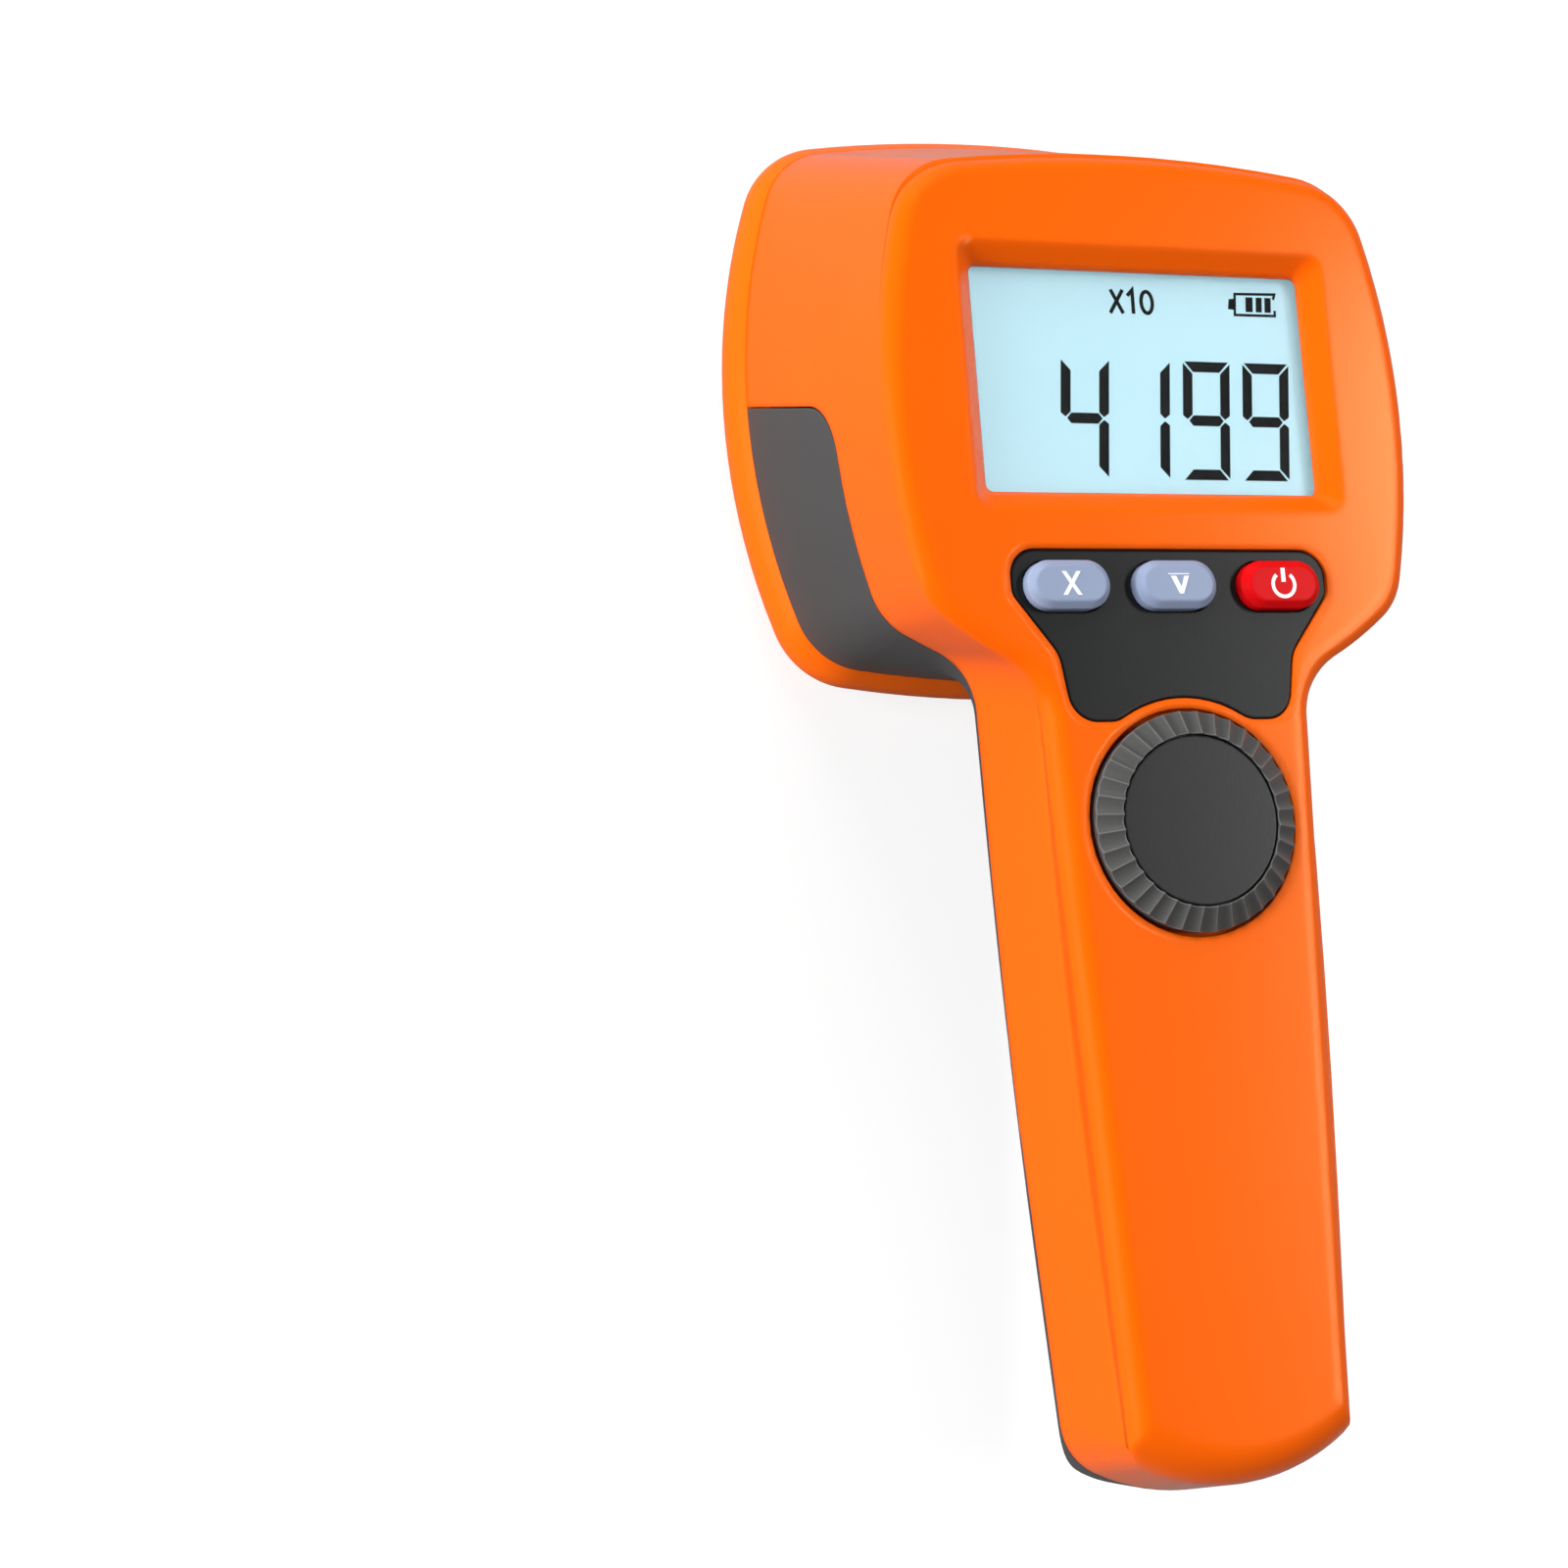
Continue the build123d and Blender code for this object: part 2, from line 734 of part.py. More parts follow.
# Lamp bezel: rounded bumper ring with a flat crest, a ledge for the lamp plate and a spigot
crest_outer = (bezel_band - bezel_land) / 2
crest_inner = crest_outer + bezel_land
ledge_z = plate_recess + plate_thickness
with BuildPart() as lamp_bezel:
    with BuildSketch(Plane.XZ.offset(-lamp_y)) as ring_section:
        edge_x = bezel_half_width
        with BuildLine():
            Line((edge_x - crest_inner, 0), (edge_x - crest_outer, 0))
            outer_centre = (edge_x - crest_outer, bezel_round_z)
            EllipticalCenterArc(outer_centre, crest_outer, bezel_round_z, 270, arc_size=90)
            Spline(
                (edge_x, bezel_round_z),
                (edge_x - bezel_step, bezel_height),
                tangents=((0, 1), (-0.75, 1)),
            )
            Polyline(
                (edge_x - bezel_step, bezel_height),
                (edge_x - bezel_band - plate_ledge, bezel_height),
                (edge_x - bezel_band - plate_ledge, ledge_z),
                (edge_x - bezel_band, ledge_z),
                (edge_x - bezel_band, plate_recess),
            )
            inner_centre = (edge_x - crest_inner, plate_recess)
            EllipticalCenterArc(inner_centre, crest_outer, plate_recess, 180, arc_size=90)
        make_face()
    with BuildSketch(Plane.XY) as ring_path:
        bezel_outline(0)
    sweep(ring_section.sketch, path=ring_path.wires()[0])
    add(spigot.part)
lamp_bezel.part.label = "lamp_bezel"
export_step(lamp_bezel.part, "parts/lamp_bezel.step")

# Lamp plate: recessed front plate with three lens holes, an engraved ring and four pillars
lens_spots = [
    (
        lens_pitch_radius * cos(radians(angle)),
        lamp_y + lens_centre_y + lens_pitch_radius * sin(radians(angle)),
    )
    for angle in lens_angles
]
pillars = [(side * pillar_x, lamp_y + y) for side in (-1, 1) for y in (pillar_top_y, pillar_low_y)]
sink_low_z = led_board_z + led_board_thickness
with BuildPart() as lamp_plate:
    with BuildSketch(Plane.XY.offset(plate_recess)):
        bezel_outline(bezel_band + fit_gap)
    extrude(amount=plate_thickness)
    for x, y in pillars:
        add(post(x, y, pillar_radius, ledge_z, sink_low_z))
        pilot_radius = sink_screw_radius + thread_gap
        add(post(x, y, pilot_radius, sink_low_z - sink_screw_depth, sink_low_z), mode=Mode.SUBTRACT)
    for x, y in lens_spots:
        add(post(x, y, lens_radius + lens_gap, 0, ledge_z + overshoot), mode=Mode.SUBTRACT)
    with BuildSketch(Plane.XY.offset(plate_recess)):
        with Locations((0, lamp_y)):
            Circle(plate_ring_radius + plate_ring_width / 2)
            Circle(plate_ring_radius - plate_ring_width / 2, mode=Mode.SUBTRACT)
    extrude(amount=plate_ring_depth, mode=Mode.SUBTRACT)
lamp_plate.part.label = "lamp_plate"
export_step(lamp_plate.part, "parts/lamp_plate.step")

# Lens form: flange, cone towards the diode, a well behind and a dimple in front
flange_back_z = lens_face_z + lens_flange
lens_back_z = lens_face_z + lens_depth
with BuildPart() as lens_form:
    with BuildSketch(Plane.XZ):
        with BuildLine():
            ThreePointArc(
                (0, lens_face_z + lens_dimple_depth),
                (lens_dimple_radius / 2, lens_face_z + 0.75 * lens_dimple_depth),
                (lens_dimple_radius, lens_face_z),
            )
            Polyline(
                (lens_dimple_radius, lens_face_z),
                (lens_radius - lens_edge, lens_face_z),
                (lens_radius, lens_face_z + lens_edge),
                (lens_radius, flange_back_z),
                (lens_cone_top_radius, flange_back_z),
                (lens_tail_radius, lens_back_z),
                (lens_well_radius, lens_back_z),
                (lens_well_radius, lens_back_z - lens_well_depth),
                (0, lens_back_z - lens_well_depth),
                (0, lens_face_z + lens_dimple_depth),
            )
        make_face()
    revolve(axis=Axis.Z)

# Holder form: round collar that presses the lens to the plate
with BuildPart() as holder_form:
    with BuildSketch(Plane.XZ):
        with BuildLine():
            Polyline(
                (lens_radius + fit_gap, ledge_z),
                (holder_radius, ledge_z),
                (holder_radius, led_board_z),
                (lens_tail_radius + holder_gap, led_board_z),
                (lens_cone_top_radius + holder_gap, flange_back_z),
                (lens_radius + fit_gap, flange_back_z),
                close=True,
            )
        make_face()
    revolve(axis=Axis.Z)

# Diode form: round base with a dome that stands in the lens's well
with BuildPart() as led_form:
    add(post(0, 0, led_base_radius, led_board_z - led_base_height, led_board_z))
    with Locations((0, 0, led_board_z - led_base_height)):
        Sphere(led_dome_radius, arc_size2=0)

for place, spot in zip(lens_names, lens_spots):
    # lens
    with BuildPart() as lens:
        with Locations(spot):
            add(lens_form.part)
    lens.part.label = f"lens_{place}"
    export_step(lens.part, f"parts/lens_{place}.step")
    # collar behind the lens
    with BuildPart() as lens_holder:
        with Locations(spot):
            add(holder_form.part)
    lens_holder.part.label = f"lens_holder_{place}"
    export_step(lens_holder.part, f"parts/lens_holder_{place}.step")
    # diode on the lamp board
    with BuildPart() as led:
        with Locations(spot):
            add(led_form.part)
    led.part.label = f"led_{place}"
    export_step(led.part, f"parts/led_{place}.step")

# Round lamp board that carries the three diodes
with BuildPart() as led_board:
    add(post(0, lamp_y + lens_centre_y, led_board_radius, led_board_z, sink_low_z))
led_board.part.label = "led_board"
export_step(led_board.part, "parts/led_board.step")

# Heat sink: base plate on the lamp board with fins towards the display
sink_base_z = sink_low_z + sink_base
sink_centre = (0, lamp_y + (pillar_top_y + pillar_low_y) / 2)
with BuildPart() as heat_sink:
    with BuildSketch(Plane.XY.offset(sink_low_z)):
        with Locations(sink_centre):
            RectangleRounded(2 * sink_half_width, 2 * sink_half_height, sink_corner)
    extrude(amount=sink_base)
    with BuildSketch(Plane.XY.offset(sink_base_z)):
        with Locations(sink_centre):
            with GridLocations(sink_fin_pitch, 0, sink_fin_count, 1):
                Rectangle(sink_fin_thickness, 2 * sink_half_height - 2 * sink_fin_inset)
    extrude(amount=sink_fin_height)
    for x, y in pillars:
        shank_radius = sink_screw_radius + screw_gap
        add(post(x, y, shank_radius, sink_low_z - overshoot, sink_base_z + overshoot), mode=Mode.SUBTRACT)
heat_sink.part.label = "heat_sink"
export_step(heat_sink.part, "parts/heat_sink.step")

# Four screws that draw the heat sink to the lamp plate
with BuildPart() as heat_sink_screws:
    for x, y in pillars:
        thread_low_z = sink_low_z - sink_screw_depth + pilot_room
        add(post(x, y, sink_head_radius, sink_base_z, sink_base_z + sink_head_height))
        add(post(x, y, sink_screw_radius, thread_low_z, sink_base_z + sink_head_height / 2))
    screw_tops = heat_sink_screws.faces().filter_by(Axis.Z).group_by(Axis.Z)[-1]
    fillet(screw_tops.edges(), sink_head_edge)
heat_sink_screws.part.label = "heat_sink_screws"
export_step(heat_sink_screws.part, "parts/heat_sink_screws.step")

# Clear window bonded behind the recess
with BuildPart() as display_window:
    add(
        rounded_block(
            window_width, window_height, recess_corner / 2, display_centre_y, window_low_z, window_top_z
        )
    )
display_window.part.label = "display_window"
export_step(display_window.part, "parts/display_window.step")

# Liquid crystal cell
with BuildPart() as lcd_panel:
    add(rounded_block(lcd_width, lcd_height, lcd_corner, display_centre_y, lcd_low_z, lcd_top_z))
lcd_panel.part.label = "lcd_panel"
export_step(lcd_panel.part, "parts/lcd_panel.step")

# Light guide behind the cell
with BuildPart() as backlight:
    add(rounded_block(lcd_width, lcd_height, lcd_corner, display_centre_y, backlight_low_z, lcd_low_z))
backlight.part.label = "backlight"
export_step(backlight.part, "parts/backlight.step")

# Frame that carries the cell and its light guide on the main board
frame_inner_width = lcd_width + 2 * fit_gap
frame_inner_height = lcd_height + 2 * fit_gap
with BuildPart() as display_frame:
    add(
        rounded_block(
            frame_inner_width + 2 * frame_wall,
            frame_inner_height + 2 * frame_wall,
            frame_wall,
            display_centre_y,
            board_top_z,
            lcd_low_z + frame_rise,
        )
    )
    add(
        rounded_block(
            frame_inner_width, frame_inner_height, lcd_corner, display_centre_y, backlight_low_z, face_z
        ),
        mode=Mode.SUBTRACT,
    )
    add(
        rounded_block(
            frame_inner_width - 4 * frame_wall,
            frame_inner_height - 4 * frame_wall,
            frame_wall,
            display_centre_y,
            board_z,
            face_z,
        ),
        mode=Mode.SUBTRACT,
    )
display_frame.part.label = "display_frame"
export_step(display_frame.part, "parts/display_frame.step")

# Main board: wide under the display, narrow down the handle
half_board = (
    (board_half_width, lamp_y + board_top_y),
    (board_half_width, lamp_y - board_shoulder_y),
    (board_hip[0], lamp_y - board_hip[1]),
    (board_waist[0], lamp_y - board_waist[1]),
    (board_tail_half_width, lamp_y - board_tail_top),
    (board_tail_half_width, lamp_y - board_tail_y),
)
with BuildPart() as main_board:
    add(plan_block(board_z, board_top_z, *half_board, *[(-x, y) for x, y in reversed(half_board)]))
    for x, y in board_posts:
        shank_radius = board_screw_radius + screw_gap
        add(post(x, y, shank_radius, board_z - overshoot, board_top_z + overshoot), mode=Mode.SUBTRACT)
    notch_radius = front_boss_radius + board_notch_gap
    add(post(*case_posts[0], notch_radius, board_z - overshoot, board_top_z + overshoot), mode=Mode.SUBTRACT)
main_board.part.label = "main_board"
export_step(main_board.part, "parts/main_board.step")

# Six screws that hold the main board to the front shell's posts
with BuildPart() as board_screws:
    for x, y in board_posts:
        add(post(x, y, board_screw_head, board_z - board_head_height, board_z))
        add(post(x, y, board_screw_radius, board_z - board_head_height / 2, board_thread_z))
    board_heads = board_screws.faces().filter_by(Axis.Z).group_by(Axis.Z)[0]
    fillet(board_heads.edges(), board_head_edge)
board_screws.part.label = "board_screws"
export_step(board_screws.part, "parts/board_screws.step")

# Control panel: dark plate round the buttons, bonded in its recess
with BuildPart() as control_panel:
    extrude(panel_sketch(panel_low_z, 0), amount=panel_thickness)
    panel_face = control_panel.faces().sort_by(Axis.Z)[-1]
    fillet(panel_face.edges(), panel_edge)
    extrude(button_slots(panel_low_z, button_gap), amount=panel_thickness + overshoot, mode=Mode.SUBTRACT)
control_panel.part.label = "control_panel"
export_step(control_panel.part, "parts/control_panel.step")

# Push buttons with their plungers, and the switches on the main board
flange_top_z = pad_low_z - flange_gap
switch_top_z = board_top_z + switch_height
for name, x in zip(button_names, button_x):
    # key cap with a flange that stops it under the panel and a stem to the plunger
    with BuildPart() as button:
        with BuildSketch(Plane.XY.offset(flange_top_z)):
            with Locations((x, button_row_y)):
                SlotOverall(button_length, button_width)
        extrude(amount=button_top_z - flange_top_z)
        chamfer(button.faces().sort_by(Axis.Z)[-1].edges(), button_bevel)
        fillet(button.faces().sort_by(Axis.Z)[-1].edges(), button_bevel / 2)
        with BuildSketch(Plane.XY.offset(flange_top_z - flange_thickness)):
            with Locations((x, button_row_y)):
                SlotOverall(button_length + 2 * button_flange, button_width + 2 * button_flange)
        extrude(amount=flange_thickness)
        add(post(x, button_row_y, button_stem_radius, plunger_top_z, flange_top_z))
    button.part.label = f"{name}_button"
    export_step(button.part, f"parts/{name}_button.step")
    # plunger of the switch
    with BuildPart() as plunger:
        add(post(x, button_row_y, plunger_radius, plunger_low_z, plunger_top_z))
    plunger.part.label = f"{name}_plunger"
    export_step(plunger.part, f"parts/{name}_plunger.step")
    # switch body
    with BuildPart() as switch:
        with BuildSketch(Plane.XY.offset(board_top_z)):
            with Locations((x, button_row_y)):
                Rectangle(switch_size, switch_size)
        extrude(amount=switch_height)
        bore_radius = plunger_radius + plunger_gap
        bore_low_z = plunger_low_z - plunger_room
        add(post(x, button_row_y, bore_radius, bore_low_z, switch_top_z + overshoot), mode=Mode.SUBTRACT)
    switch.part.label = f"{name}_switch"
    export_step(switch.part, f"parts/{name}_switch.step")

# Cone that cuts one flute; its edges run along the knob's sloped crown
crown_slope = (knob_crown_z - knob_rim_z) / (knob_radius - knob_crown_radius)
flute_apex_z = knob_rim_z + knob_radius * crown_slope
flute_half = pi * knob_radius / knob_rib_count
flute_radius = (flute_half**2 + knob_flute_depth**2) / (2 * knob_flute_depth)
flute_lift = flute_radius - knob_flute_depth
crown_run = Vector(knob_radius, 0, knob_rim_z - flute_apex_z)
crown_normal = Vector(crown_slope, 0, 1).normalized()
flute_reach = 1.4  # the cone runs past the knob's rim
with BuildPart() as flute_cutter:
    apex = Vector(0, 0, flute_apex_z)
    flute_axis = (crown_run + crown_normal * flute_lift) * flute_reach
    flute_side = flute_axis.normalized().cross(Vector(0, 1, 0)) * flute_radius * flute_reach
    with BuildSketch(Plane.XZ):
        with BuildLine():
            far = apex + flute_axis
            rim_point = far + flute_side
            Polyline((apex.X, apex.Z), (far.X, far.Z), (rim_point.X, rim_point.Z), close=True)
        make_face()
    revolve(axis=Axis(apex, flute_axis))

# Knob: skirt in the well, fluted crown, hub on the encoder shaft
knob_seat_z = knob_crown_z - cap_drop - cap_thickness
knob_roof_z = knob_seat_z - knob_wall
with BuildPart() as knob_form:
    with BuildSketch(Plane.XZ):
        with BuildLine():
            Polyline(
                (shaft_radius + press_gap, knob_bottom_z),
                (knob_hub_radius, knob_bottom_z),
                (knob_hub_radius, knob_roof_z),
                (knob_radius - knob_wall, knob_roof_z),
                (knob_radius - knob_wall, knob_bottom_z),
                (knob_radius - knob_skirt_step, knob_bottom_z),
                (knob_radius, knob_rim_z),
                (knob_crown_radius, knob_crown_z),
                (knob_cap_radius + cap_gap, knob_crown_z),
                (knob_cap_radius + cap_gap, knob_seat_z),
                (shaft_radius + press_gap, knob_seat_z),
                close=True,
            )
        make_face()
    revolve(axis=Axis.Z)
    with PolarLocations(0, knob_rib_count):
        add(flute_cutter.part, mode=Mode.SUBTRACT)
with BuildPart() as knob:
    with Locations(knob_centre):
        add(knob_form.part)
knob.part.label = "knob"
export_step(knob.part, "parts/knob.step")

# Smooth insert in the knob's crown
with BuildPart() as knob_cap:
    add(post(*knob_centre, knob_cap_radius, knob_seat_z, knob_seat_z + cap_thickness))
    fillet(knob_cap.faces().sort_by(Axis.Z)[-1].edges(), cap_edge)
knob_cap.part.label = "knob_cap"
export_step(knob_cap.part, "parts/knob_cap.step")

# Shaft that the knob turns on
encoder_floor_z = board_top_z + encoder_floor
with BuildPart() as encoder_shaft:
    add(post(*knob_centre, shaft_radius, encoder_floor_z + shaft_gap, knob_seat_z))
encoder_shaft.part.label = "encoder_shaft"
export_step(encoder_shaft.part, "parts/encoder_shaft.step")

# Encoder housing with its bushing through the floor of the knob's well
with BuildPart() as encoder_body:
    with BuildSketch(Plane.XY.offset(board_top_z)):
        with Locations(knob_centre):
            Rectangle(encoder_size, encoder_size)
    extrude(amount=encoder_height)
    add(post(*knob_centre, bushing_radius, board_top_z, bushing_top_z))
    add(post(*knob_centre, shaft_radius + shaft_gap, encoder_floor_z, face_z), mode=Mode.SUBTRACT)
encoder_body.part.label = "encoder_body"
export_step(encoder_body.part, "parts/encoder_body.step")

# Battery lying on the rear shell's cradle ribs
with BuildPart() as battery_pack:
    with BuildSketch(Plane.XY.offset(battery_z)):
        with Locations((0, lamp_y - battery_top_y - battery_length / 2)):
            RectangleRounded(battery_width, battery_length, battery_edge)
    extrude(amount=battery_thickness)
    fillet(battery_pack.faces().sort_by(Axis.Z)[0].edges(), battery_edge)
    fillet(battery_pack.faces().sort_by(Axis.Z)[-1].edges(), battery_edge)
battery_pack.part.label = "battery_pack"
export_step(battery_pack.part, "parts/battery_pack.step")
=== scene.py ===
from math import cos, radians, sin

import bmesh
import bpy
from mathutils import Matrix, Vector


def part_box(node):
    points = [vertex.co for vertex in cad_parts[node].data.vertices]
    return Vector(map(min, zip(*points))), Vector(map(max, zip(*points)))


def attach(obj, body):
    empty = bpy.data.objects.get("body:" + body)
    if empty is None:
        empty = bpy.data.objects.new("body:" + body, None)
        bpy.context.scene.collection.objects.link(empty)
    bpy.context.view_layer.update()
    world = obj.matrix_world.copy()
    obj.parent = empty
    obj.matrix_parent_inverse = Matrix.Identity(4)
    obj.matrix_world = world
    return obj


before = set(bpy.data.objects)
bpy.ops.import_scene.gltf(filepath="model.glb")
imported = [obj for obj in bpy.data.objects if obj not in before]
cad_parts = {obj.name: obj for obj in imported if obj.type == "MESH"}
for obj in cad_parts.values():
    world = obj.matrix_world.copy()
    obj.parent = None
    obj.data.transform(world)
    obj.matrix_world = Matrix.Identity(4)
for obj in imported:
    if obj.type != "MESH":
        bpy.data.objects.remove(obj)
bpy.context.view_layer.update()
mm = 0.001


# Camera and studio. The instrument lies on a white table, seen from above and a little from its left
# through one long lens. Two large softboxes and a narrow one light it, and the table goes to white
# under the camera away from the object.
camera_place = Vector((-209.59, -57.11, 440.36)) * mm
camera_right = Vector((0.93515, -0.07248, 0.34675))
camera_up = Vector((0.02345, 0.98936, 0.14357))
focal_share = 2994.1 / 1600  # focal length as a share of the picture's width
sensor_width = 36

camera_data = bpy.data.cameras.new("camera")
camera = bpy.data.objects.new("camera", camera_data)
bpy.context.scene.collection.objects.link(camera)
camera_data.sensor_width = sensor_width
camera_data.lens = focal_share * sensor_width
camera_data.clip_start = 0.01
camera_data.clip_end = 20
camera_back = camera_right.cross(camera_up).normalized()
camera_up = camera_back.cross(camera_right).normalized()
camera_turn = Matrix((camera_right, camera_up, camera_back)).transposed().to_4x4()
camera.matrix_world = Matrix.Translation(camera_place) @ camera_turn
bpy.context.scene.camera = camera
bpy.context.scene.view_settings.view_transform = "Standard"


def shader_node(tree, kind, inputs=None, **settings):
    """New shader node. Each input is given a value, or another node's output to be linked to."""
    node = tree.nodes.new("ShaderNode" + kind)
    for name, value in settings.items():
        setattr(node, name, value)
    for socket, value in (inputs or {}).items():
        if isinstance(value, bpy.types.NodeSocket):
            tree.links.new(value, node.inputs[socket])
        else:
            node.inputs[socket].default_value = value
    return node


def camera_bright(tree, low, strength):
    """Bright shader for the camera and glass, and a mix that keeps the low one for light."""
    ray = shader_node(tree, "LightPath").outputs
    seen = {0: ray["Is Camera Ray"], 1: ray["Is Transmission Ray"]}
    seen_directly = shader_node(tree, "Math", seen, operation="MAXIMUM")
    kind = "Background" if low.type == "BACKGROUND" else "Emission"
    bright = shader_node(tree, kind, {"Strength": strength})
    mix = shader_node(tree, "MixShader", {0: seen_directly.outputs[0], 1: low.outputs[0]})
    return bright, mix


sky_level = 0.25
world = bpy.data.worlds.new("studio")
world.use_nodes = True
bpy.context.scene.world = world
sky = world.node_tree
sky.nodes.clear()
sky_light = shader_node(sky, "Background", {"Strength": sky_level})
sky_bright, sky_mix = camera_bright(sky, sky_light, 1.0)
sky.links.new(sky_bright.outputs[0], sky_mix.inputs[2])
shader_node(sky, "OutputWorld", {"Surface": sky_mix.outputs[0]})


def new_material(name, sockets):
    """Material with a Principled shader, its sockets set by name."""
    material = bpy.data.materials.new(name)
    material.use_nodes = True
    tree = material.node_tree
    tree.nodes.clear()
    output = shader_node(tree, "OutputMaterial")
    shader = shader_node(tree, "BsdfPrincipled", sockets)
    tree.links.new(shader.outputs["BSDF"], output.inputs["Surface"])
    return material, tree, shader, output


table_half = 4.0
table_drop = 0.2 * mm  # below the object's lowest point
table_grey = (0.3, 0.3, 0.3, 1)
table_glow = 0.78  # what the camera sees besides the lit grey
fade_start, fade_end = 0.22, 0.45  # the table goes to white between these, from the origin
table_mesh = bpy.data.meshes.new("table")
table_corners = [(-1, -1), (1, -1), (1, 1), (-1, 1)]
table_mesh.from_pydata([(x * table_half, y * table_half, 0) for x, y in table_corners], [], [(0, 1, 2, 3)])
table = bpy.data.objects.new("table", table_mesh)
bpy.context.scene.collection.objects.link(table)
table.location.z = -table_drop
table_sockets = {"Base Color": table_grey, "Roughness": 0.9, "Specular IOR Level": 0.0}
table_material, table_tree, table_shader, table_output = new_material("table", table_sockets)
table_bright, table_mix = camera_bright(table_tree, table_shader, table_glow)
table_near = shader_node(table_tree, "AddShader", {0: table_bright.outputs[0], 1: table_shader.outputs[0]})
table_place = shader_node(table_tree, "TexCoord").outputs["Object"]
table_reach = shader_node(table_tree, "VectorMath", {0: table_place}, operation="LENGTH").outputs["Value"]
fade_range = {"Value": table_reach, "From Min": fade_start, "From Max": fade_end}
table_fade = shader_node(table_tree, "MapRange", fade_range).outputs["Result"]
table_far = shader_node(table_tree, "Emission", {"Strength": 1.0})
table_seen = shader_node(
    table_tree, "MixShader", {0: table_fade, 1: table_near.outputs[0], 2: table_far.outputs[0]}
)
table_tree.links.new(table_seen.outputs[0], table_mix.inputs[2])
table_tree.links.new(table_mix.outputs[0], table_output.inputs["Surface"])
table_mesh.materials.append(table_material)

# Each large softbox is two lamps at one place: a strong one for matt surfaces, and a weak one that shows in
# glossy surfaces.
left_place, top_place, right_place = (-1.42, 0.00, 0.32), (-0.15, 1.30, 0.80), (0.78, 0.06, 1.04)
large_size, narrow_size = (0.95, 0.95), (0.75, 0.16)
# name, place, width and height, power, lights matt surfaces, shows in glossy ones
lamps = (
    ("left_softbox", left_place, large_size, 37.6, True, False),
    ("left_glint", left_place, large_size, 10.0, False, True),
    ("top_softbox", top_place, large_size, 17.0, True, False),
    ("top_glint", top_place, large_size, 4.0, False, True),
    ("right_softbox", right_place, narrow_size, 7.6, True, True),
)
lamp_aim = Vector((0, 0.03, 0.05))  # in the head
for name, place, (width, height), power, matt, glossy in lamps:
    lamp_data = bpy.data.lights.new(name, "AREA")
    lamp_data.shape = "RECTANGLE"
    lamp_data.size = width
    lamp_data.size_y = height
    lamp_data.energy = power
    lamp = bpy.data.objects.new(name, lamp_data)
    bpy.context.scene.collection.objects.link(lamp)
    lamp.location = place
    lamp.visible_diffuse = matt
    lamp.visible_glossy = glossy
    lamp.rotation_euler = (lamp_aim - Vector(place)).to_track_quat("-Z", "Y").to_euler()


# Front shell: display face, head walls and handle front, one orange ABS moulding with a fine spark-eroded
# grain. Screwed to the rear shell from the palm side.
grain_group = bpy.data.node_groups.new("moulded grain", "ShaderNodeTree")
grain_controls = ("Shade", "Roughness", "Grain Scale", "Grain Depth", "Edge Radius", "Edge Highlight")
grain_group.interface.new_socket("Colour", in_out="INPUT", socket_type="NodeSocketColor")
for control in grain_controls:
    grain_group.interface.new_socket(control, in_out="INPUT", socket_type="NodeSocketFloat")
for result, kind in (("Colour", "Color"), ("Roughness", "Float"), ("Normal", "Vector")):
    grain_group.interface.new_socket(result, in_out="OUTPUT", socket_type="NodeSocket" + kind)
grain_in = grain_group.nodes.new("NodeGroupInput").outputs
grain_out = grain_group.nodes.new("NodeGroupOutput")
grain_place = shader_node(grain_group, "TexCoord").outputs["Object"]
# moulded edges are never sharp: their shading is rounded, and a painted highlight makes them paler
soft_edge = shader_node(grain_group, "Bevel", {"Radius": grain_in["Edge Radius"]}, samples=4)
grain_pattern = {"Vector": grain_place, "Scale": grain_in["Grain Scale"], "Detail": 3, "Roughness": 0.6}
grain_relief = {
    "Height": shader_node(grain_group, "TexNoise", grain_pattern).outputs["Fac"],
    "Strength": grain_in["Grain Depth"],
    "Distance": 0.1 * mm,
    "Normal": soft_edge.outputs["Normal"],
}
grain_normal = shader_node(grain_group, "Bump", grain_relief).outputs["Normal"]
flat_normal = shader_node(grain_group, "NewGeometry").outputs["Normal"]
edge_turn = shader_node(
    grain_group, "VectorMath", {0: soft_edge.outputs["Normal"], 1: flat_normal}, operation="DOT_PRODUCT"
)
edge_range = {"Value": edge_turn.outputs["Value"], "From Min": 0.995, "From Max": 0.90}
edge_mask = shader_node(grain_group, "MapRange", edge_range).outputs["Result"]
# paler edges: a painted highlight on every edge the bevel finds
edge_terms = {0: edge_mask, 1: grain_in["Edge Highlight"], 2: 1}
painted_edge_highlight = shader_node(grain_group, "Math", edge_terms, operation="MULTIPLY_ADD")
# slow drift of colour and gloss over the moulding
drift_pattern = {"Vector": grain_place, "Scale": 22, "Detail": 2}
drift_range = {
    "Value": shader_node(grain_group, "TexNoise", drift_pattern).outputs["Fac"],
    "From Min": 0.3,
    "From Max": 0.7,
    "To Min": -1,
    "To Max": 1,
}
drift = shader_node(grain_group, "MapRange", drift_range, interpolation_type="SMOOTHSTEP")
drift_terms = {0: drift.outputs["Result"], 1: grain_in["Shade"], 2: 1}
drift_level = shader_node(grain_group, "Math", drift_terms, operation="MULTIPLY_ADD").outputs[0]
level_terms = {0: drift_level, 1: painted_edge_highlight.outputs[0]}
colour_level = shader_node(grain_group, "Math", level_terms, operation="MULTIPLY").outputs[0]
colour = shader_node(grain_group, "HueSaturation", {"Value": colour_level, "Color": grain_in["Colour"]})
gloss_terms = {0: drift_level, 1: grain_in["Roughness"]}
gloss = shader_node(grain_group, "Math", gloss_terms, operation="MULTIPLY")
